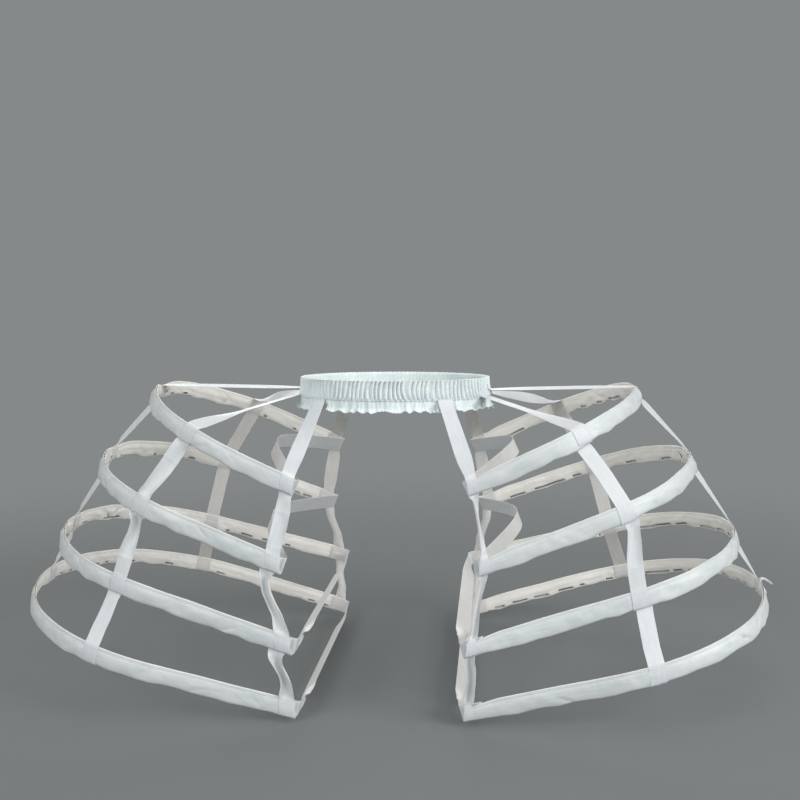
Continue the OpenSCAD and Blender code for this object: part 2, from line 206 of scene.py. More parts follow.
# What all the cloths share: where their shade turns dark and light, and how much their roughness varies
clothShade = {"dark": 0.36, "light": 0.62, "roughVaries": 0.06, "sheenRough": 0.45, "slubDetail": 3.0}


def fabric(name, look):  # woven cloth: threads along and across, slow shade changes, some light let through
    material = bpy.data.materials.new(name)
    tree = emptyTree(material)
    flat = addNode(tree, "ShaderNodeUVMap", uv_map="flat")
    slubs = addNode(tree, "ShaderNodeMapping", {"Scale": (1 / look["slubWide"], 1 / look["slubLong"], 1)},
                    {"Vector": flat.outputs["UV"]})
    slubNoise = addNode(tree, "ShaderNodeTexNoise",
                        {"Scale": 1.0, "Detail": clothShade["slubDetail"], "Roughness": 0.55},
                        {"Vector": slubs.outputs["Vector"]}, noise_dimensions="2D")
    place = addNode(tree, "ShaderNodeTexCoord")
    shade = addNode(tree, "ShaderNodeTexNoise", {"Scale": 1 / look["shadeSize"], "Detail": 2.0},
                    {"Vector": place.outputs["Object"]})
    both = addNode(tree, "ShaderNodeMath", links={0: slubNoise.outputs["Fac"], 1: shade.outputs["Fac"]},
                   operation="ADD")
    half = addNode(tree, "ShaderNodeMath", {1: 0.5}, {0: both.outputs["Value"]}, operation="MULTIPLY")
    ramp = addNode(tree, "ShaderNodeValToRGB", links={"Fac": half.outputs["Value"]})
    ramp.color_ramp.elements[0].position = clothShade["dark"]
    ramp.color_ramp.elements[0].color = colour(look["shadow"])
    ramp.color_ramp.elements[1].position = clothShade["light"]
    ramp.color_ramp.elements[1].color = colour(look["light"])
    waves = []
    for direction, pitch in (("X", look["threadAcross"]), ("Y", look["threadAlong"])):
        waves.append(addNode(tree, "ShaderNodeTexWave", {"Scale": waveRun / pitch, "Distortion": 0.0},
                             {"Vector": flat.outputs["UV"]}, wave_type="BANDS", bands_direction=direction))
    weave = addNode(tree, "ShaderNodeMath", links={0: waves[0].outputs["Fac"], 1: waves[1].outputs["Fac"]},
                    operation="MULTIPLY")
    relief = addNode(tree, "ShaderNodeMath",
                     links={0: slubNoise.outputs["Fac"], 1: weave.outputs["Value"]}, operation="ADD")
    height = addNode(tree, "ShaderNodeBump", {"Strength": look["relief"], "Distance": look["threadDeep"]},
                     {"Height": relief.outputs["Value"]})
    smoothest, roughest = (look["rough"] + way * clothShade["roughVaries"] for way in (-1, 1))
    rough = addNode(tree, "ShaderNodeMapRange", {"To Min": smoothest, "To Max": roughest},
                    {"Value": slubNoise.outputs["Fac"]})
    cloth = addNode(tree, "ShaderNodeBsdfPrincipled",
                    {"IOR": 1.5, "Specular IOR Level": look["shine"], "Sheen Weight": look["sheen"],
                     "Sheen Roughness": clothShade["sheenRough"]},
                    {"Base Color": ramp.outputs["Color"], "Roughness": rough.outputs["Result"],
                     "Normal": height.outputs["Normal"]})
    through = addNode(tree, "ShaderNodeBsdfTranslucent", {"Color": colour(look["through"])},
                      {"Normal": height.outputs["Normal"]})
    mix = addNode(tree, "ShaderNodeMixShader", {"Fac": look["thin"]},
                  {1: cloth.outputs["BSDF"], 2: through.outputs["BSDF"]})
    addNode(tree, "ShaderNodeOutputMaterial", links={"Surface": mix.outputs["Shader"]})
    return material


# Polyester satin, woven and calendered: smooth long floats, a soft wide gloss, thin enough to glow a little
satinLook = {
    "light": "#E6EDEE", "shadow": "#D8E1E3", "through": "#F2E2D8", "thin": 0.28,
    "slubWide": 0.0025, "slubLong": 0.02, "shadeSize": 0.03,
    "threadAcross": 0.0008, "threadAlong": 0.0012,  # real floats are 0.1 mm apart, drawn coarser to show
    "threadDeep": 0.00012, "relief": 0.35, "rough": 0.4, "shine": 0.5, "sheen": 0.15}
satin = fabric("polyesterSatin", satinLook)
# The casing's inner layer: the same satin, painted brighter and warmer than the outer layer to stand in for
# light shining through it from behind, and duller; seen inside the baskets
satinInsidePaintedLight = fabric("satinInsidePaintedLight", {
    **satinLook, "light": "#FCFAF4", "shadow": "#F3F0E9", "through": "#FAF3E9", "thin": 0.12,
    "rough": 0.5, "shine": 0.4, "sheen": 0.2})
# Satin ribbon, narrow woven with a firm selvedge: a little greyer and finer than the casings
ribbonShade = {
    "light": "#DDE2E6", "shadow": "#D3D9DD", "through": "#F4E9E0", "thin": 0.2,
    "slubWide": 0.003, "slubLong": 0.02, "shadeSize": 0.04,
    "threadAcross": 0.0007, "threadAlong": 0.001,  # real threads are 0.12 mm apart, drawn coarser to show
    "threadDeep": 0.0001, "relief": 0.3, "rough": 0.42, "shine": 0.4, "sheen": 0.15}
ribbonSatin = fabric("satinRibbon", ribbonShade)
# The ribbon's other side, which the back tapes show inside the baskets: duller, and painted brighter and
# warmer than the face to stand in for the light that comes through
ribbonBackPaintedLight = fabric("ribbonBackPaintedLight", {
    **ribbonShade, "light": "#F1F0EE", "shadow": "#E7E6E4", "through": "#F8F4EE", "thin": 0.26,
    "rough": 0.5, "shine": 0.35, "sheen": 0.2})
# Cotton voile, plain woven and gathered: matt, faintly blue, with fine slubs
cotton = fabric("gatheredCotton", {
    "light": "#E6EFEF", "shadow": "#D3DEE0", "through": "#E4E6E6", "thin": 0.06,
    "slubWide": 0.0009, "slubLong": 0.009, "shadeSize": 0.02,
    "threadAcross": 0.0006, "threadAlong": 0.0006,  # real threads are 0.25 mm apart, drawn coarser to show
    "threadDeep": 0.00015, "relief": 0.4, "rough": 0.62, "shine": 0.35, "sheen": 0.25})


# A solid material whose grain is drawn out along one axis
def plain(name, light, shadow, size, rough, metallic=0.0, stretch=(1, 1, 1), relief=0.1):
    material = bpy.data.materials.new(name)
    tree = emptyTree(material)
    place = addNode(tree, "ShaderNodeTexCoord")
    drawn = addNode(tree, "ShaderNodeMapping", {"Scale": stretch}, {"Vector": place.outputs["Object"]})
    noise = addNode(tree, "ShaderNodeTexNoise", {"Scale": 1 / size, "Detail": 4.0},
                    {"Vector": drawn.outputs["Vector"]})
    ramp = addNode(tree, "ShaderNodeValToRGB", links={"Fac": noise.outputs["Fac"]})
    ramp.color_ramp.elements[0].position = 0.35
    ramp.color_ramp.elements[0].color = colour(shadow)
    ramp.color_ramp.elements[1].position = 0.65
    ramp.color_ramp.elements[1].color = colour(light)
    height = addNode(tree, "ShaderNodeBump", {"Strength": relief, "Distance": 0.0002},
                     {"Height": noise.outputs["Fac"]})
    shader = addNode(tree, "ShaderNodeBsdfPrincipled", {"Metallic": metallic, "Roughness": rough},
                     {"Base Color": ramp.outputs["Color"], "Normal": height.outputs["Normal"]})
    addNode(tree, "ShaderNodeOutputMaterial", links={"Surface": shader.outputs["BSDF"]})
    return material


# Spring steel, cold rolled: grey, drawn lines along the strip
steel = plain("springSteel", "#B9BBBD", "#9EA1A4", 0.002, 0.32, metallic=1.0, stretch=(1, 1, 6))
# Woven elastic: off-white polyester over rubber, ribbed across its width
elastic = plain("wovenElastic", "#E6E4DC", "#D2D0C6", 0.0012, 0.7, stretch=(1, 1, 0.2), relief=0.6)
# Spun polyester sewing thread: white, slightly fuzzy
thread = plain("sewingThread", "#F2F4F4", "#DEE3E6", 0.0008, 0.55)
print("Materials made")


# Hoops, from the top one down: a nose arc, a bend on each side and straight legs, in a tilted plane.
# These sizes and those of the band, tapes and casings are the solids' own, in millimetres and degrees
hoops = {
    "drop": (80, 163, 247, 320),
    "inner": (102, 115, 102, 100),
    "reach": (293, 357, 409, 442),
    "depth": (370, 396, 424, 408),
    "tilt": (24.4, 20.4, 15.5, 14.8),
    "noseAngle": (36.5, 34.5, 34.0, 25.5),
    "sideAngle": (87.5, 84.0, 81.5, 95.0),
    "leg": (57, 119.5, 175.5, 152),
    "tapeAt": (122, 153, 188, 210),
    "tieBow": (46, 38, 0, 0),
}
band = {"height": 24.0, "full": 4.6, "waistWide": 221, "waistDeep": 166, "turn": 6.0, "frill": 12.0}
tapes = {"width": 18, "thick": 0.8, "gap": 0.3, "lap": 7, "endLap": 2.0, "foot": 12, "tieGap": 1,
         "endAngle": 50, "middleAngle": 14, "sideRise": 9, "middleRise": 3, "flare": 1.6, "flareRise": 12}
casing = {"height": 20, "stitchAt": 6.4, "drawnTo": -2}
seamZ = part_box("waistband")[1][2] / mm - band["height"]


class Hoop:
    def __init__(self, i):
        get = {k: v[i] for k, v in hoops.items()}
        self.drop, self.inner, self.depth, self.leg = get["drop"], get["inner"], get["depth"], get["leg"]
        self.tapeAt, self.bow = get["tapeAt"], get["tieBow"]
        self.tilt = math.radians(get["tilt"])
        self.noseAngle, self.sideAngle = math.radians(get["noseAngle"]), math.radians(get["sideAngle"])
        arm = (get["reach"] - self.inner) / math.cos(self.tilt)
        a, b = self.noseAngle, self.sideAngle
        arcsU = arm - self.leg * math.sin(b)
        arcsV = self.depth / 2 - self.leg * math.cos(b)
        self.bend = (arcsU * math.sin(a) - arcsV * (1 - math.cos(a))) / (
            (math.cos(a) - math.cos(b)) * math.sin(a) - (math.sin(b) - math.sin(a)) * (1 - math.cos(a)))
        self.nose = (arcsV - self.bend * (math.sin(b) - math.sin(a))) / math.sin(a)
        self.noseMiddle = arm - self.nose
        self.noseRun = self.nose * a
        self.bendRun = self.bend * (b - a)
        self.half = self.noseRun + self.bendRun + self.leg
        self.crossings = [k * (self.half - self.tapeAt) for k in (-1, 0, 1)]  # middle tapes and side tape
        self.up = self.turned(0, 0, 1)

    def turned(self, u, v, w):
        c, s = math.cos(self.tilt), math.sin(self.tilt)
        return np.stack(np.broadcast_arrays(u * c - w * s, v, u * s + w * c), -1).astype(float)

    def lifted(self, u, v, w=0.0):
        return self.turned(u, v, w) + np.array([self.inner, 0, seamZ - self.drop])

    def facing(self, s):
        q = np.abs(s)
        f = np.where(q < self.noseRun, q / self.nose,
                     self.noseAngle + np.clip(q - self.noseRun, 0, self.bendRun) / self.bend)
        return np.sign(s) * f

    def spot(self, s):
        q, f = np.abs(s), np.abs(self.facing(s))
        gap = self.nose - self.bend
        past = np.maximum(0, q - self.noseRun - self.bendRun)
        onNose = q < self.noseRun
        bendU = self.noseMiddle + gap * math.cos(self.noseAngle) + self.bend * np.cos(f) - past * np.sin(f)
        bendV = gap * math.sin(self.noseAngle) + self.bend * np.sin(f) + past * np.cos(f)
        u = np.where(onNose, self.noseMiddle + self.nose * np.cos(f), bendU)
        v = np.where(onNose, self.nose * np.sin(f), bendV)
        return u, np.sign(s) * v

    def at(self, s, off=0.0, rise=0.0):
        u, v = self.spot(np.asarray(s, float))
        f = self.facing(np.asarray(s, float))
        return self.lifted(u + off * np.cos(f), v + off * np.sin(f), rise)

    def normal(self, s):
        f = self.facing(np.asarray(s, float))
        return self.turned(np.cos(f), np.sin(f), 0.0)

    def tangent(self, s):
        f = self.facing(np.asarray(s, float))
        return self.turned(-np.sin(f), np.cos(f), 0.0)


hoopList = [Hoop(i) for i in range(4)]


# Casings: a strip of satin folded under the bone and stitched along the top
casingLook = {
    "step": 2.4, "halfThick": 2.1, "least": 0.3, "cloth": 0.4, "rowEase": 0.3,
    "pucker": 0.3, "puckerPitch": 4.6, "puckerHigh": 6.5,  # small folds under the stitches
    "crease": 1.8, "creaseEvery": 13, "creaseHigh": 4.5,  # dents, deeper at the nose
    "creaseLean": (-2.2, 2.2), "creaseWide": (1.8, 4.5), "creaseShare": (-1.0, 0.45), "creaseAt": (-6, 2),
    "facet": 1.3, "facetRun": 13,  # near-flat lengths between kinks
    "ripple": 0.35, "ripplePitch": 9,  # long wrinkles of the inner layer
    "edgeWander": 3.4, "noseDip": (4.5, 2.0, 0.8, 0.6), "dipRun": 24,
    "pressed": 0.14, "tapeReach": 13, "endReach": 15,  # flatter under the tapes and at the sewn ends
    "stitchEndRoom": 3, "stitchProud": 0.02,
    "gapeAbove": {"left": 0.05, "right": 0.5}, "gapeKeepOff": 14, "gapeRows": (-8.6, -5.5),
    "ends": {"left": (0.68, 44), "right": (0.84, 24)}}  # share of the height kept there, and over what run
# How full the strip is at each height: it falls flat from the stitches and turns under in its lowest third
sectionAt = (-10, -9.4, -8.4, -6.8, -4.5, -2, 1, 4, 5.6, 6.4, 7.2, 10)
sectionFull = (0.1, 0.42, 0.64, 0.82, 0.95, 1, 0.98, 0.8, 0.6, 0.44, 0.46, 0.36)
faceRows = np.array([10, 9.2, 8.2, 7.2, 6.4, 5.7, 4.6, 3, 1.2,
                     -0.6, -2.4, -4.2, -5.6, -6.5, -7.4, -8.5, -9.4, -10])


def casingSection(h):
    return np.interp(h, sectionAt, sectionFull)


def casingSeed(i, side):
    return 100 * i + (0 if side == "left" else 40)


def stripShare(h):  # 0 at the strip's lower edge, 1 at its upper one
    return (h + casing["height"] / 2) / casing["height"]


def noseShare(hoop, s, least):  # 1 at the nose, falling off to a least share
    return least + (1 - least) * bump(s, 0, hoop.noseRun * 1.3)


def casingFace(i, side, s, h, face):  # how far out the cloth lies, on the outer face (1) or the inner (-1)
    hoop, seed = hoopList[i], casingSeed(i, side)
    pressed = casingLook["pressed"]
    off = casingLook["halfThick"] * casingSection(h)
    press, calm = 1.0, 1.0
    for at in hoop.crossings:
        near = bump(s, at, casingLook["tapeReach"])
        press, calm = press - pressed * near, calm * (1 - near)
    near = np.where(np.abs(s) > hoop.half, 1.0, bump(np.abs(s), hoop.half, casingLook["endReach"]))
    press, calm = press - pressed * near, calm * (1 - near)
    phase = s / casingLook["puckerPitch"] + 0.7 * wander(s, seed + 3, 9) + face * 0.17
    below = np.clip((casing["stitchAt"] - h) / casingLook["puckerHigh"], 0, 1)
    loose = casingLook["pucker"] * (0.55 + 0.45 * wander(s, seed + 5, 14)) * np.sin(2 * math.pi * phase)
    loose = loose * np.sin(math.pi * below) ** 0.8
    rng = np.random.default_rng(seed + 12 + face)
    for _ in range(int(hoop.half / casingLook["creaseEvery"])):
        at = rng.uniform(-1, 1) * hoop.half
        lean, wide = rng.uniform(*casingLook["creaseLean"]), rng.uniform(*casingLook["creaseWide"])
        byPlace = 1.0 if abs(at) < hoop.noseRun * 1.6 else 0.55
        deep = casingLook["crease"] * rng.uniform(*casingLook["creaseShare"]) * byPlace
        middle = rng.uniform(*casingLook["creaseAt"])
        dent = bump(s, at + lean * (h - middle), wide) * bump(h, middle, casingLook["creaseHigh"])
        loose = loose + deep * dent
    middleShare = np.sin(math.pi * np.clip(stripShare(h), 0, 1)) ** 2
    if face < 0:  # the inner layer is the slack one
        ripple = np.sin(2 * math.pi * (h / casingLook["ripplePitch"] + 0.5 * wander(s, seed + 31, 48)))
        rippleDeep = casingLook["ripple"] * (0.6 + 0.4 * wander(s, seed + 32, 22))
        loose = loose + rippleDeep * ripple * middleShare
    slowly, quickly = wander(s, seed + 7 + face, 19), wander(s, seed + 9 + face, 7)
    loose = loose + (0.4 * slowly + 0.25 * quickly) * middleShare
    facets = kinked(s + 0.9 * h, seed + 51 + face, casingLook["facetRun"])
    loose = loose + casingLook["facet"] * noseShare(hoop, s, 0.3) * facets * middleShare
    return face * np.maximum(off * press + loose * calm, casingLook["least"])


def gapes(i, side, s):  # where the sewn-in lower edge of the inner layer stands open between its stitches
    hoop, keepOff = hoopList[i], casingLook["gapeKeepOff"]
    near = np.abs(s) > hoop.half - keepOff
    for at in hoop.crossings:
        near |= np.abs(s - at) < keepOff
    return (wander(s, casingSeed(i, side) + 41, 11) > casingLook["gapeAbove"][side]) & ~near


def edgeShift(i, side, s):  # the strip rides up and down a little on its bone, more at the nose
    hoop, seed = hoopList[i], casingSeed(i, side)
    wanders = casingLook["edgeWander"] * noseShare(hoop, s, 0.35)
    low = wanders * kinked(s, seed + 21, 15)
    dip = casingLook["noseDip"][i] * bump(s, 0, casingLook["dipRun"])
    high = 0.3 * wanders * kinked(s, seed + 22, 34) - dip
    return low, high


def endTaper(side, s, i):  # the share of its height that the strip keeps: the ends are drawn in
    least, run = casingLook["ends"][side]
    near = np.clip((np.abs(s) - (hoopList[i].half + tapes["width"] / 2 - run)) / run, 0, 1)
    return 1 - (1 - least) * eased(near)


def drawnIn(h, taper):
    return (h - casing["drawnTo"]) * taper + casing["drawnTo"]


def makeCasing(i, side):
    hoop, way = hoopList[i], sides[side]
    end = hoop.half + tapes["width"] / 2
    s = np.linspace(-end, end, int(2 * end / casingLook["step"]))
    sheetH = np.concatenate([faceRows, faceRows[-2::-1]])
    faces = np.array([1] * (len(faceRows) - 1) + [0] + [-1] * (len(faceRows) - 1))
    low, high = edgeShift(i, side, s)
    taper = endTaper(side, s, i)
    rows = []
    for h, face in zip(sheetH, faces):
        off = casingFace(i, side, s, h, face) if face else np.zeros(len(s))
        rows.append(hoop.at(s, off, drawnIn(h, taper) + mixed(low, high, stripShare(h))))
    points = np.stack(rows, 1)
    points[..., 0] *= way
    widths = np.concatenate([[0], np.cumsum(np.abs(np.diff(sheetH)) + casingLook["rowEase"])])
    name = f"{side}Hoop{i + 1}Casing"
    inside = faces[:-1] < 0
    fromRow, toRow = casingLook["gapeRows"]
    slack = inside & (sheetH[:-1] > fromRow) & (sheetH[1:] < toRow)
    if way < 0:  # the mirrored sheet is laid the other way round, so that its outer face stays outside
        points, inside, slack = points[:, ::-1], inside[::-1], slack[::-1]
    openFaces = gapes(i, side, s)[:, None] & slack
    strip = gridMesh(name, points, widths, s, holes=lambda r, c: openFaces[r, c])
    layer = np.broadcast_to(inside, (len(s) - 1, len(inside)))[~openFaces[:-1]]
    # the inner layer takes the second material, whose colour is painted light: brighter and warmer than the
    # outer satin
    strip.data.polygons.foreach_set("material_index", layer.astype(np.int32))
    piece = thicken(strip, casingLook["cloth"])
    piece.data.materials.append(satin)
    piece.data.materials.append(satinInsidePaintedLight)
    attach(piece, "root")
    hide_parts(f"{side}_hoop_{i + 1}_casing")
    # Stitches along the top, on both faces
    places, along, out = [], [], []
    sewn = end - casingLook["stitchEndRoom"]
    at = np.arange(-sewn, sewn, stitch["pitch"])
    rise = drawnIn(casing["stitchAt"], endTaper(side, at, i)) + edgeShift(i, side, at)[1]
    for face in (1, -1):
        off = casingFace(i, side, at, casing["stitchAt"], face)
        off = off + face * (casingLook["cloth"] / 2 + casingLook["stitchProud"])
        places.append(hoop.at(at, off, rise))
        along.append(hoop.tangent(at))
        out.append(face * hoop.normal(at))
    places, along, out = (np.concatenate(v) * [way, 1, 1] for v in (places, along, out))
    seam = stitches(f"{side}Hoop{i + 1}Stitches", places, along, out)
    seam.data.materials.append(thread)
    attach(seam, "root")


for side in sides:
    for i in range(4):
        makeCasing(i, side)
print("Casings made")


# Ribbons: a ring is a centre, a width vector, the half angle of its curl and a roll about the ribbon
ribbonLook = {"step": 1.6, "thick": 0.4,
              "across": np.array([-1, -0.95, -0.8, -0.6, -0.4, -0.2, 0, 0.2, 0.4, 0.6, 0.8, 0.95, 1])}
curlAngles = np.linspace(0.01, math.pi * 0.97, 300)


def softened(values, steps):
    for _ in range(steps):
        inner = (values[:-2] + 2 * values[1:-1] + values[2:]) / 4
        values = np.concatenate([values[:1], inner, values[-1:]])
    return values


def curlFor(keep, flatFrom=0.995):  # the half angle at which a curled ribbon shows this share of its width
    return float(np.interp(-keep, -np.sin(curlAngles) / curlAngles, curlAngles)) if keep < flatFrom else 0.0


def ribbonGrid(name, rings, width, soften, step=ribbonLook["step"]):
    centres = np.array([r[0] for r in rings], float)
    wides = np.array([r[1] for r in rings], float)
    turns = np.array([[r[2], r[3]] for r in rings], float)
    run = np.concatenate([[0], np.cumsum(np.linalg.norm(np.diff(centres, axis=0), axis=1))])
    q = np.linspace(0, run[-1], max(4, int(run[-1] / step)))
    centres, wides, turns = (
        softened(np.stack([np.interp(q, run, v[:, k]) for k in range(v.shape[1])], 1), soften)
        for v in (centres, wides, turns))
    along = unit(np.gradient(centres, axis=0))
    normals = unit(np.cross(wides, along))
    c, s = np.cos(turns[:, 1])[:, None], np.sin(turns[:, 1])[:, None]
    size = np.linalg.norm(wides, axis=-1, keepdims=True)
    wides, normals = wides * c + size * normals * s, normals * c - unit(wides) * s
    # A curled ribbon keeps its cloth width
    half = np.where(np.abs(turns[:, :1]) < 0.001, 0.001, turns[:, :1])
    t = ribbonLook["across"][None, :]
    x = width / 2 * np.sin(half * t) / half
    z = width / 2 * (1 - np.cos(half * t)) / half
    z = z - np.where(np.abs(half) > 0.2, z.mean(1, keepdims=True), 0)
    points = centres[:, None] + wides[:, None] * x[..., None] + normals[:, None] * z[..., None]
    return gridMesh(name, points, t[0] * width / 2, q)


# Tapes, from the front of the band round to its back
tapeNames = ("FrontInner", "FrontMiddle", "Side", "BackMiddle", "BackInner")
tapeNodes = ("front_inner", "front_middle", "side", "back_middle", "back_inner")
tapeAngles = (-tapes["endAngle"], -tapes["middleAngle"], 0, tapes["middleAngle"], tapes["endAngle"])
tapeRises = (0, tapes["middleRise"], tapes["sideRise"], tapes["middleRise"], 0)
# The share of its width that a tape keeps where it is drawn together at the end of each hoop
pinches = {("left", 0): (0.62, 0.55, 0.55, 0.5), ("right", 0): (0.82, 0.9, 1, 0.95),
           ("left", 4): (0.8, 0.75, 0.75, 0.7), ("right", 4): (0.8, 0.8, 0.8, 0.8)}
# How far the front middle tape of each side was sewn from its planned place, outwards, in millimetres
strays = {"left": (5, 4, -6, -12), "right": (3, 10, 10, 12)}
tapeSewing = {"rows": (7.6, -7.4), "inRow": 5, "proud": 0.05,
              "backDeep": -0.3, "backHigh": 12, "backWide": 14}  # where the ribbon behind a casing takes the second material, painted light that lifts its shade
# How a ribbon lies on a casing: on this share of its fullness and this far out, further out behind it
ribbonLie = {"share": 0.86, "out": 0.5, "back": 0.25, "outerBack": 0.75, "above": 10.8, "below": -11.0}
# From above the casing down its front, and up its back once it has turned under the lower edge
wrapDown = (10.3, 9, 7.4, 6.4, 5.4, 3.6, 1, -2, -4.5, -6.8, -8.4, -9.4, -10.2)
wrapUp = (-10.2, -8.4, -6.8, -4.5, -2, 2, 5, 7.5, 9.4)
startDown = (1, -1, -3, -6, -8.5, -10)
# The loose end that stands out at the lowest nose: how far out, at what height and how wide
looseTail = ((0, 2, 0.4), (0.4, 6, 0.45), (1.8, 8.6, 0.45), (5, 8.4, 0.4), (9, 5, 0.34), (12.5, 0, 0.2))
# The share of its first length over which a tape keeps the band's direction
lateTurn = {"left": 0.45, "right": 0.55}


def endTape(k):
    return k in (0, 4)


def sewnAt(i, k, side):  # where along the hoop tape k crosses
    hoop = hoopList[i]
    planned = 0.0 if k == 2 else (-1 if k < 2 else 1) * (hoop.half - (0 if endTape(k) else hoop.tapeAt))
    return planned + (strays[side][i] if k == 1 else 0)


class Cross:  # where tape k crosses hoop i
    def __init__(self, i, k, side="left"):
        hoop, s = hoopList[i], sewnAt(i, k, side)
        self.hoop, self.p, self.n = hoop, hoop.at(s), hoop.normal(s)
        above = hoopList[max(i - 1, 0)].at(sewnAt(max(i - 1, 0), k, side))
        below = hoopList[min(i + 1, 3)].at(sewnAt(min(i + 1, 3), k, side))
        self.down = unit(across(unit(below - above), self.n))
        self.slant = math.acos(min(1, -float(self.down @ hoop.up)))
        # A fold line runs along the casing's edge, so the width there is measured along the hoop
        along = hoop.tangent(s)
        self.flat = np.cross(self.down, self.n)
        self.along = along * np.sign(along @ self.flat)
        self.low, self.high = (float(v) for v in edgeShift(i, side, s))
        self.taper = float(endTaper(side, s, i))
        self.pinch = pinches.get((side, k), (1, 1, 1, 1))[i]
        toEnd = -1 if k == 0 else 1
        drawnTogether = (1 - self.pinch) * tapes["width"] / 2
        self.p = self.p + drawnTogether * self.along * toEnd * np.sign(self.along @ along)
        self.wide = self.along / math.cos(self.slant) * self.pinch

    def over(self, off, height):  # at a height above the casing's middle, along the tape's own line
        shift = mixed(self.low, self.high, min(1, max(0, stripShare(height))))
        height = drawnIn(height, self.taper) + shift
        return self.p + off * self.n - height / math.cos(self.slant) * self.down

    def lie(self, height, extra=0.0):  # how far from the casing's middle layer the ribbon lies
        full = float(casingSection(max(sectionAt[0], min(sectionAt[-1], height))))
        return casingLook["halfThick"] * ribbonLie["share"] * full + ribbonLie["out"] + extra

    def wrapped(self):
        bent = tapes["width"] / 2 / self.hoop.bend
        rings = [(self.over(0.35 * self.lie(10), ribbonLie["above"]), self.wide, -bent, 0)]
        rings += [(self.over(self.lie(h), h), self.wide, -bent, 0) for h in wrapDown]
        rings.append((self.over(0, ribbonLie["below"]), self.wide, 0, 0))
        rings += [(self.over(-self.lie(h, ribbonLie["back"]), h), self.wide, bent, 0) for h in wrapUp]
        return rings

    def start(self, sway):  # the next length of ribbon starts behind the casing
        return [(self.over(-self.lie(h, ribbonLie["outerBack"]), h) + sway * self.flat, self.wide, 0, 0)
                for h in startDown]


def ringNormal(a):
    return unit(np.stack([np.cos(a) / band["waistWide"], np.sin(a) / band["waistDeep"]], -1))


def ringPoint(a, off):
    flat = np.stack([band["waistWide"] / 2 * np.cos(a), band["waistDeep"] / 2 * np.sin(a)], -1)
    return flat + np.asarray(off)[..., None] * ringNormal(a)


def bandPlace(k, turn, rise):
    a = math.radians(tapeAngles[k] - turn)
    flare = tapes["flare"] * (1 - rise / tapes["flareRise"])  # the band stands further out at its foot
    p, n = ringPoint(a, band["full"] + tapes["gap"] + tapes["thick"] / 2 + flare), ringNormal(a)
    out = np.array([n[0], n[1], 0])
    return np.array([p[0], p[1], seamZ + rise]), out, np.cross([0, 0, -1], out)


# How each tape hangs from one hoop to the next, at 10, 30, 50, 70 and 90 % of the way down:
# the share of its width that shows, its roll in degrees and its sway towards the middle in millimetres,
# which also has a value for the start
whole = (1, 1, 1, 1, 1)
level = (0, 0, 0, 0, 0)
straight = (0, 0, 0, 0, 0, 0)
hangs = {
    ("right", 0, 1): ((1, 1, 0.95, 0.95, 1), (14, 6, 0, -4, 0), (0, 0, 1, 1.5, 1, 0)),
    ("right", 0, 2): ((0.52, 0.5, 0.5, 0.62, 0.85), (0, 8, 10, 4, 0), (-7, -11, -10, -6, -1, 0)),
    ("right", 0, 3): ((0.8, 0.52, 0.5, 0.66, 0.9), (0, 8, 10, 4, 0), (-8, -9.5, -6, -1, 1.5, 0)),
    ("right", 1, 1): ((1, 1, 0.96, 0.88, 0.78), (-30, -32, -30, -26, -14), (-3, -2, -1, 0, 0, 0)),
    ("right", 1, 2): ((0.62, 0.72, 0.86, 1, 1), (-60, -48, -24, -8, 0), (-2, -1, 0.5, 0.5, 0, 0)),
    ("right", 1, 3): (whole, (10, 8, 4, 2, 0), (-3, -3, -2, -1, -1, 0)),
    ("left", 0, 1): ((0.9, 0.95, 0.95, 0.95, 0.9), (66, 80, 80, 72, 60), straight),
    ("left", 0, 2): ((0.8, 0.6, 0.5, 0.5, 0.6), (50, 62, 60, 50, 30), (0, 1, 2, 2, 1, 0)),
    ("left", 0, 3): ((0.8, 0.6, 0.55, 0.6, 0.8), (0, 20, 24, 16, 0), (0, 0, -1, -1, 0, 0)),
    ("left", 1, 1): (whole, level, (3, 2, 1, 0, 0, 0)),
    ("left", 1, 2): ((0.78, 0.86, 0.95, 1, 1), (12, 4, 0, 0, 0), (-4, -4, -3, -1, 0, 0)),
    ("left", 1, 3): (whole, level, (-4, -3, -2, -1, 0, 0)),
}
sideRolls = {"left": (-23, -20, -16, -12, -9), "right": (-29, -30, -29, -27, -22)}
for side in sides:
    hangs[side, 2, 0] = (whole, (-5, -8, -8, -8, -4), straight)
    hangs[side, 3, 0] = (whole, (-14, -26, -40, -50, -40), straight)
    for i in (1, 2, 3):
        hangs[side, 2, i] = (whole, sideRolls[side], straight)
    for i in (2, 3):
        hangs[side, 4, i] = ((0.8, 0.6, 0.5, 0.6, 0.85), (0, 8, 10, 5, 0), (0, 0, 2, 0, -2, 0))
knownAt = (0, 0.1, 0.3, 0.5, 0.7, 0.9, 1)
pinchRun = 0.16  # the share of a length over which a ribbon drawn together spreads again


def hopRings(a, b, wideA, wideB, hang, late=0.0, count=16):  # late: the share that keeps wideA's direction
    keeps, rolls, sways = hang
    rings, along = [], unit(b - a)
    shrinkA, shrinkB = (1 - min(1, np.linalg.norm(w)) for w in (wideA, wideB))
    for f in np.linspace(0, 1, count + 1)[1:-1]:
        keep = np.interp(f, knownAt, (1, *keeps, 1))
        roll = math.radians(np.interp(f, knownAt, (0, *rolls, 0)))
        sway = np.interp(f, knownAt, (*sways, 0))
        turned = eased(max(0.0, (f - late) / (1 - late)))
        wide = unit(across(mixed(unit(wideA), unit(wideB), turned), along))
        drawn = 1 - shrinkA * bump(f, 0, pinchRun) - shrinkB * bump(f, 1, pinchRun)
        rings.append((mixed(a, b, f) + sway * wide, wide * drawn, curlFor(keep), roll))
    return rings


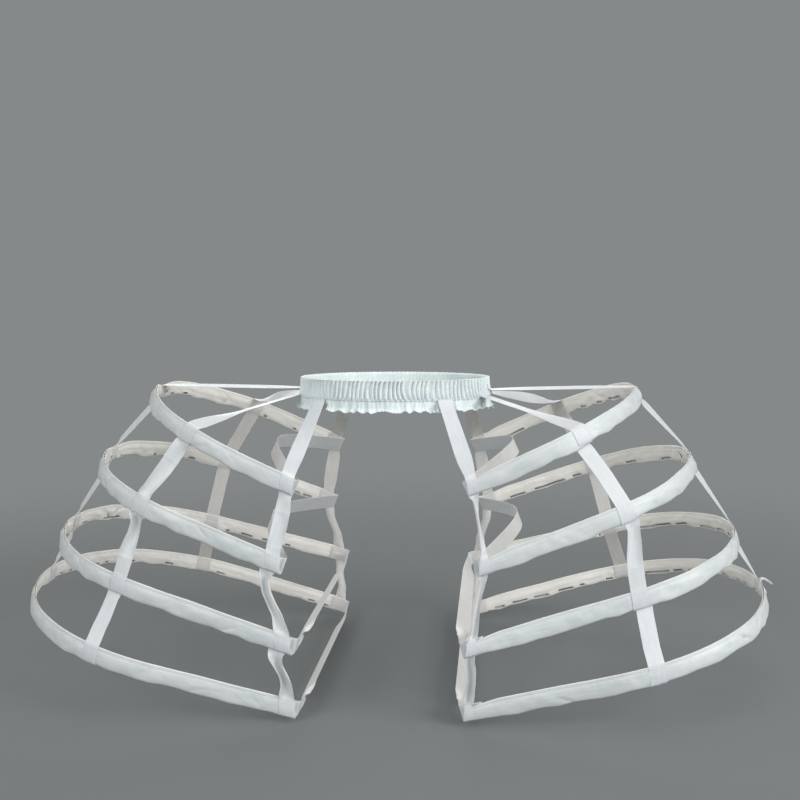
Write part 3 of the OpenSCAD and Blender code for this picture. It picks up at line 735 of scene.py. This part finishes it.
def makeTape(k, side):
    turn, way = (band["turn"] if side == "left" else -band["turn"]), sides[side]
    crosses = [Cross(i, k, side) for i in range(4)]
    leave, out, bandWide = bandPlace(k, turn, tapeRises[k])
    top = bandPlace(k, turn, tapeRises[k] + tapes["endLap" if endTape(k) else "lap"])[0]
    rings = [(top, bandWide, 0, 0), (leave, bandWide, 0, 0)]
    name = f"{side}{tapeNames[k]}Tape"
    parts, rows = [], []
    for i, c in enumerate(crosses):
        wrap = c.wrapped()
        hang = hangs.get((side, k, i), (whole, level, straight))
        late = 0.0 if i or endTape(k) else lateTurn[side]
        base = rings[-1][0] - hang[2][0] * (crosses[i - 1].flat if i else 0)
        firstWide = c.flat * crosses[i - 1].pinch if i else rings[-1][1]
        rings += hopRings(base, wrap[0][0], firstWide, c.flat * c.pinch, hang, late)
        parts.append(ribbonGrid(f"{name}{i}", rings + wrap, tapes["width"], soften=2))
        for face in parts[-1].data.polygons:  # turned up behind the casing, the ribbon takes the second material on both sides: painted light that lifts the shade there
            place = np.array(face.center) / mm - c.p
            inHeight = abs(place @ c.hoop.up) < tapeSewing["backHigh"]
            inWidth = abs(place @ c.along) < tapeSewing["backWide"]
            if inHeight and inWidth and place @ c.n < tapeSewing["backDeep"]:
                face.material_index = 1
        if (side, k, i) == ("left", 2, 3):
            tail = [(c.over(c.lie(h) + 0.7 + far, h), wide * c.wide, 0.5, 0) for far, h, wide in looseTail]
            parts.append(ribbonGrid(f"{name}Tail", tail, tapes["width"], soften=1))
        if i < 3:
            rings = c.start(hangs.get((side, k, i + 1), (whole, level, straight))[2][0])
        spread = np.linspace(-0.4, 0.4, max(3, round(tapeSewing["inRow"] * c.pinch)))
        for h in tapeSewing["rows"]:  # each crossing is sewn through along both edges of the casing
            for face in (1, -1):
                lie = c.lie(h, 0.0 if face > 0 else ribbonLie["back"])
                lie = lie + ribbonLook["thick"] / 2 + tapeSewing["proud"]
                for at in spread * tapes["width"] * c.pinch:
                    rows.append((c.over(face * lie, h) + at * c.along, c.along, face * c.n))
    piece = join(name, parts)
    if way < 0:
        mirrored(piece)
    # the ribbon's other side takes the second material, whose colour is painted light: brighter and warmer,
    # for light coming through
    thicken(piece, ribbonLook["thick"], reverse=1)
    piece.data.materials.append(ribbonSatin)
    piece.data.materials.append(ribbonBackPaintedLight)
    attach(piece, "root")
    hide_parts(f"{side}_{tapeNodes[k]}_tape")
    places, along, out = (np.array([row[v] for row in rows]) * [way, 1, 1] for v in range(3))
    seam = stitches(name + "Stitches", places, along, out)
    seam.data.materials.append(thread)
    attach(seam, "root")


for side in sides:
    for k in range(5):
        makeTape(k, side)
print("Tapes made")


# Ties: ribbons across the open side of each hoop, next to the body
tieLook = {"step": 3.0, "points": 25, "inset": 2.5, "rounding": 0.12,
           "leans": {("left", 2): 44, ("left", 3): 44, ("right", 2): 36, ("right", 3): 32},
           "leanAt": (0, 0.06, 0.16, 0.8, 0.95, 1), "leanShare": (0, 0.1, 1, 1, 0, 0),
           "foldAt": 0.12, "foldRun": 0.035, "foldDeep": 0.45}


def bowed(f):  # 1 in the middle of the open side, 0 at its ends
    r = tieLook["rounding"]
    return 1 - (math.sqrt(f * f + r) - math.sqrt(r)) / (math.sqrt(1 + r) - math.sqrt(r))


def makeTie(i, side):
    hoop, way = hoopList[i], sides[side]
    n = np.array([math.cos(hoop.sideAngle), math.sin(hoop.sideAngle)])
    t = np.array([-n[1], n[0]])
    slant = Cross(i, 0).slant
    base = np.array([0, hoop.depth / 2]) - tieLook["inset"] * n
    tapeRoom = tapes["width"] / 2 / math.cos(slant) + casing["height"] / 2 * math.tan(slant)
    begin = base + t * (tapeRoom + tapes["tieGap"])
    path = [base - tapes["foot"] * t, mixed(base - tapes["foot"] * t, begin, 0.5), begin]
    for q in np.linspace(0, 1, tieLook["points"])[1:]:
        f = 1 - q
        u = mixed(begin[0], hoop.bow / math.cos(hoop.tilt), bowed(f)) if hoop.bow else begin[0]
        path.append(np.array([u, begin[1] * f]))
    points = [np.array([p[0], -p[1]]) for p in path] + [p for p in path[-2::-1]]
    rings, total = [], points[-1][1] - points[0][1]
    for p in points:
        f = (p[1] - points[0][1]) / total
        lean, keep = 0.0, 1.0
        if not hoop.bow:  # the straight ties turn edge-on in a small fold just behind the front end
            lean = tieLook["leans"][side, i] * np.interp(f, tieLook["leanAt"], tieLook["leanShare"])
            keep = 1 - tieLook["foldDeep"] * bump(f, tieLook["foldAt"], tieLook["foldRun"])
        rings.append((hoop.lifted(p[0], p[1]), hoop.up, curlFor(keep, flatFrom=0.99), math.radians(lean)))
    piece = ribbonGrid(f"{side}Hoop{i + 1}Tie", rings, tapes["width"], soften=2, step=tieLook["step"])
    if way < 0:
        mirrored(piece)
    # the tie's other side takes the second material, whose colour is painted light: brighter and warmer, for
    # light coming through
    thicken(piece, ribbonLook["thick"], reverse=1)
    piece.data.materials.append(ribbonSatin)
    piece.data.materials.append(ribbonBackPaintedLight)
    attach(piece, "root")
    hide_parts(f"{side}_hoop_{i + 1}_tie")


for side in sides:
    for i in range(4):
        makeTie(i, side)
print("Ties made")


# Waistband: a gathered tube of cotton round the elastic, with a stitched seam and a frill below it
bandLook = {"rows": 1500, "gatherPitch": 5.4, "gatherDeep": 4.8, "middle": 13, "halfHeight": 11,
            "cloth": 0.4, "foot": 2.6, "channel": 21.4, "flare": 3.8, "swell": 0.55,
            "openHalf": 12, "openRows": 4}
frillLook = {"waves": 40, "top": 1.6, "out": 4.9, "lean": 1.6, "swing": 1.7, "smallSwing": 0.5,
             "lettuce": 0.7, "lettucePitch": 4.6, "hemFlare": 3.0, "hemFrom": 0.72,
             "scallop": 1.2, "uneven": 0.8, "lettuceDrop": 0.3}
angles = np.linspace(0, 2 * math.pi, 7201)
ringSteps = np.linalg.norm(np.diff(ringPoint(angles, 3.0 + 0 * angles), axis=0), axis=1)
ringRun = np.concatenate([[0], np.cumsum(ringSteps)])
ringLength = ringRun[-1]
bandRun = np.arange(bandLook["rows"]) / bandLook["rows"] * ringLength
bandAngle = np.interp(bandRun, ringRun, angles)
offStart = np.sin(math.pi * bandRun / ringLength) ** 0.2  # nothing wanders where the run starts and ends


def gathers(z):  # 0 in the folds, 1 on the ridges
    count = round(ringLength / bandLook["gatherPitch"])
    up = (z - bandLook["middle"]) / bandLook["halfHeight"]
    bow = (1 - up ** 2) * (0.3 + 0.35 * wander(bandRun, 6, 16)) + 0.3 * wander(bandRun, 9, 11) * up
    p = bandRun / ringLength * count + 0.3 * wander(bandRun, 5, 9) * offStart + bow * offStart
    return np.sin(math.pi * p) ** 2 * (0.84 + 0.16 * wander(bandRun + 0.5 * z, 8, 7))


def bandRow(off, z):
    return np.concatenate([ringPoint(bandAngle, off), z[:, None]], 1)


def bandSection():  # from inside over the top and down: height, how far out, the gathers' depth and lift
    deep, foot = bandLook["gatherDeep"], bandLook["foot"]
    rows = [(z, 0.3, 0.25, 0) for z in (foot, 3.6, 4.6, 5.6, 6.6, 10, 14, 18, 21, 22.6)]
    rows += [(z, off, 0.5 * deep, 0.35) for z, off in ((23.5, 0.9), (24.0, 1.9), (23.7, 3.0))]
    for z in (23.0, 22.3, 21.5, 20, 18, 16, 14, 12, 10, 8, 6.5, 5.2, 4.2, 3.4):
        flare = bandLook["flare"] * (1 - z / band["height"]) ** 1.4
        swell = bandLook["swell"] * math.sin(math.pi * (z - foot) / bandLook["channel"]) ** 0.6
        share = 0.8 + 0.2 * abs(z - bandLook["middle"]) / bandLook["halfHeight"]
        rows.append((z, 0.7 + flare + swell, deep * share, 0))
    return rows + [(foot, 5.0, 0.4 * deep, 0), (1.6, 5.2, 0.3 * deep, 0), (0.4, 5.2, 0.3 * deep, 0)]


def makeBand():
    rows, section = [], bandSection()
    for z, base, deep, lift in section:
        g = gathers(z)
        rows.append(bandRow(base + deep * g, seamZ + z + lift * (g - 0.6)))
    points = np.stack(rows, 1)[:, ::-1]
    widths = np.concatenate([[0], np.cumsum(np.abs(np.diff([row[0] for row in section])) + 0.2)])

    def opening(r, c):  # the gap at the back where the elastic is threaded in
        back = np.abs(points[r, c, 0]) < bandLook["openHalf"]
        return back & (points[r, c, 1] > 0) & (points.shape[1] - 2 - c < bandLook["openRows"])

    sheet = gridMesh("gatheredWaistband", points, widths, bandRun, ring=True, holes=opening)
    piece = thicken(sheet, bandLook["cloth"], even=False)
    piece.data.materials.append(cotton)
    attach(piece, "root")
    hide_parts("waistband")
    return piece


def makeFrill():
    p = bandRun / ringLength * frillLook["waves"] + 0.6 * wander(bandRun, 15, 16) * offStart
    big = np.sin(2 * math.pi * p)
    small = np.sin(2 * math.pi * p * 3 + 2 * wander(bandRun, 17, 9))
    lettuce = np.sin(2 * math.pi * bandRun / frillLook["lettucePitch"] + 2.2 * wander(bandRun, 19, 6))
    g = gathers(2.0)
    rows, zs = [], []
    for f in (0, 0.08, 0.18, 0.3, 0.43, 0.56, 0.69, 0.81, 0.9, 0.96, 1.0):
        z = mixed(frillLook["top"], -band["frill"], f)
        hem = frillLook["hemFlare"] * max(0, (f - frillLook["hemFrom"]) / (1 - frillLook["hemFrom"])) ** 1.4
        off = frillLook["out"] + g * (1 - f) + frillLook["lean"] * f + frillLook["swing"] * f ** 1.2 * big
        off = off + frillLook["smallSwing"] * f * (1 - 0.4 * f) * small
        off = off + frillLook["lettuce"] * f ** 6 * lettuce + hem
        drop = frillLook["scallop"] * np.cos(2 * math.pi * p) + frillLook["uneven"] * wander(bandRun, 23, 12)
        drop = drop * f + frillLook["lettuceDrop"] * f ** 4 * lettuce
        rows.append(bandRow(off, seamZ + z + drop))
        zs.append(z)
    widths = np.concatenate([[0], np.cumsum(np.abs(np.diff(zs)))])
    sheet = gridMesh("waistFrill", np.stack(rows, 1), widths, bandRun, ring=True)
    piece = thicken(sheet, bandLook["cloth"], even=False)
    piece.data.materials.append(cotton)
    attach(piece, "root")
    return piece


bandPiece = makeBand()
frillPiece = makeFrill()
print("Waistband made")

# The bones and the elastic keep their CAD shapes
for node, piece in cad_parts.items():
    material = steel if node.endswith("bone") else elastic if node == "waist_elastic" else None
    if material:
        for spot in piece.material_slots:
            spot.material = material


def standing(x, y, z, spot):  # a matrix from three axes and a place in metres
    matrix = np.eye(4)
    matrix[:3, 0], matrix[:3, 1], matrix[:3, 2], matrix[:3, 3] = x, y, z, spot
    return Matrix(matrix.tolist())


# Camera at the photograph's viewing angle: lengths in millimetres, angles in radians, focal length in pixels
view = {"distance": 1342.034, "focal": 1097.119, "pixels": 800, "tilt": 0.0887179, "yaw": -0.0859260,
        "aside": 6.1459, "height": 114.0265, "roll": -0.0031610}
cr, sr = math.cos(view["roll"]), math.sin(view["roll"])
cy, sy = math.cos(view["yaw"]), math.sin(view["yaw"])
turn = np.array([[cy, -sy, 0], [sy, cy, 0], [0, 0, 1]]) @ np.array([[cr, 0, sr], [0, 1, 0], [-sr, 0, cr]])
ct, st = math.cos(view["tilt"]), math.sin(view["tilt"])
right, upward, back = (turn.T @ np.array(v) for v in ((1, 0, 0), (0, st, ct), (0, -ct, st)))
stand = turn.T @ np.array([view["aside"], -view["distance"], view["height"]]) + [0, 0, seamZ]
lens = bpy.data.cameras.new("camera")
lens.sensor_width = 36
lens.lens = 36 * view["focal"] / view["pixels"]
camera = placed("camera", lens)
camera.matrix_world = standing(right, upward, back, stand * mm)
bpy.context.scene.camera = camera

# Plain pale floor: real near the part, with its shadow, and one even tone further out
studio = {"backdrop": "#858989", "floor": "#757878", "floorNear": 0.5, "floorFar": 1.7, "floorHalf": 30,
          "floorDrop": 0.0006, "sky": "#F4F6F8", "soft": 0.5}
floorMesh = bpy.data.meshes.new("floor")
half = studio["floorHalf"]
corners = [(-half, -half, 0), (half, -half, 0), (half, half, 0), (-half, half, 0)]
floorMesh.from_pydata(corners, [], [(0, 1, 2, 3)])
floor = placed("floor", floorMesh)
floor.location.z = -studio["floorDrop"]
paint = bpy.data.materials.new("paintedFloor")
tree = emptyTree(paint)
place = addNode(tree, "ShaderNodeNewGeometry")
far = addNode(tree, "ShaderNodeVectorMath", links={0: place.outputs["Position"]}, operation="LENGTH")
fade = addNode(tree, "ShaderNodeMapRange", {"From Min": studio["floorNear"], "From Max": studio["floorFar"]},
               {"Value": far.outputs["Value"]}, interpolation_type="SMOOTHSTEP")


def seenDirectly(tree):  # by the camera, in a reflection or through glass
    rays = addNode(tree, "ShaderNodeLightPath").outputs
    either = addNode(tree, "ShaderNodeMath", links={0: rays["Is Camera Ray"], 1: rays["Is Glossy Ray"]},
                     operation="MAXIMUM")
    every = addNode(tree, "ShaderNodeMath",
                    links={0: either.outputs["Value"], 1: rays["Is Transmission Ray"]}, operation="MAXIMUM")
    return every.outputs["Value"]


share = addNode(tree, "ShaderNodeMath", links={0: fade.outputs["Result"], 1: seenDirectly(tree)},
                operation="MULTIPLY")
near = addNode(tree, "ShaderNodeBsdfDiffuse", {"Color": colour(studio["floor"])})
even = addNode(tree, "ShaderNodeEmission", {"Color": colour(studio["backdrop"])})
blend = addNode(tree, "ShaderNodeMixShader", links={0: share.outputs["Value"], 1: near.outputs[0],
                                                    2: even.outputs[0]})
addNode(tree, "ShaderNodeOutputMaterial", links={"Surface": blend.outputs[0]})
floorMesh.materials.append(paint)

# Large soft lamps, each with its place and size in metres and its power; the one above only fills in
lamps = {"top": ((0.5, -0.6, 2.6), 1.6, 11), "front": ((-2.5, -3.5, 2.2), 2.6, 98),
         "side": ((3.3, -1.9, 1.6), 2.0, 118), "back": ((-0.5, 3.4, 1.1), 2.0, 54)}
lampsAim = (0, 0, 0.2)
for name, (spot, size, power) in lamps.items():
    data = bpy.data.lights.new(name, "AREA")
    data.size, data.energy = size, power
    z = -unit(np.array(lampsAim) - np.array(spot))
    x = unit(np.cross([0, 1, 0], z))
    placed(name, data).matrix_world = standing(x, np.cross(z, x), z, spot)

world = bpy.data.worlds.new("studio")
bpy.context.scene.world = world
tree = emptyTree(world)
soft = addNode(tree, "ShaderNodeBackground", {"Color": colour(studio["sky"]), "Strength": studio["soft"]})
seen = addNode(tree, "ShaderNodeBackground", {"Color": colour(studio["backdrop"]), "Strength": 1.0})
which = addNode(tree, "ShaderNodeMixShader", links={0: seenDirectly(tree), 1: soft.outputs[0],
                                                    2: seen.outputs[0]})
addNode(tree, "ShaderNodeOutputWorld", links={"Surface": which.outputs[0]})
bpy.context.scene.view_settings.view_transform = "Standard"
print("Scene lit")
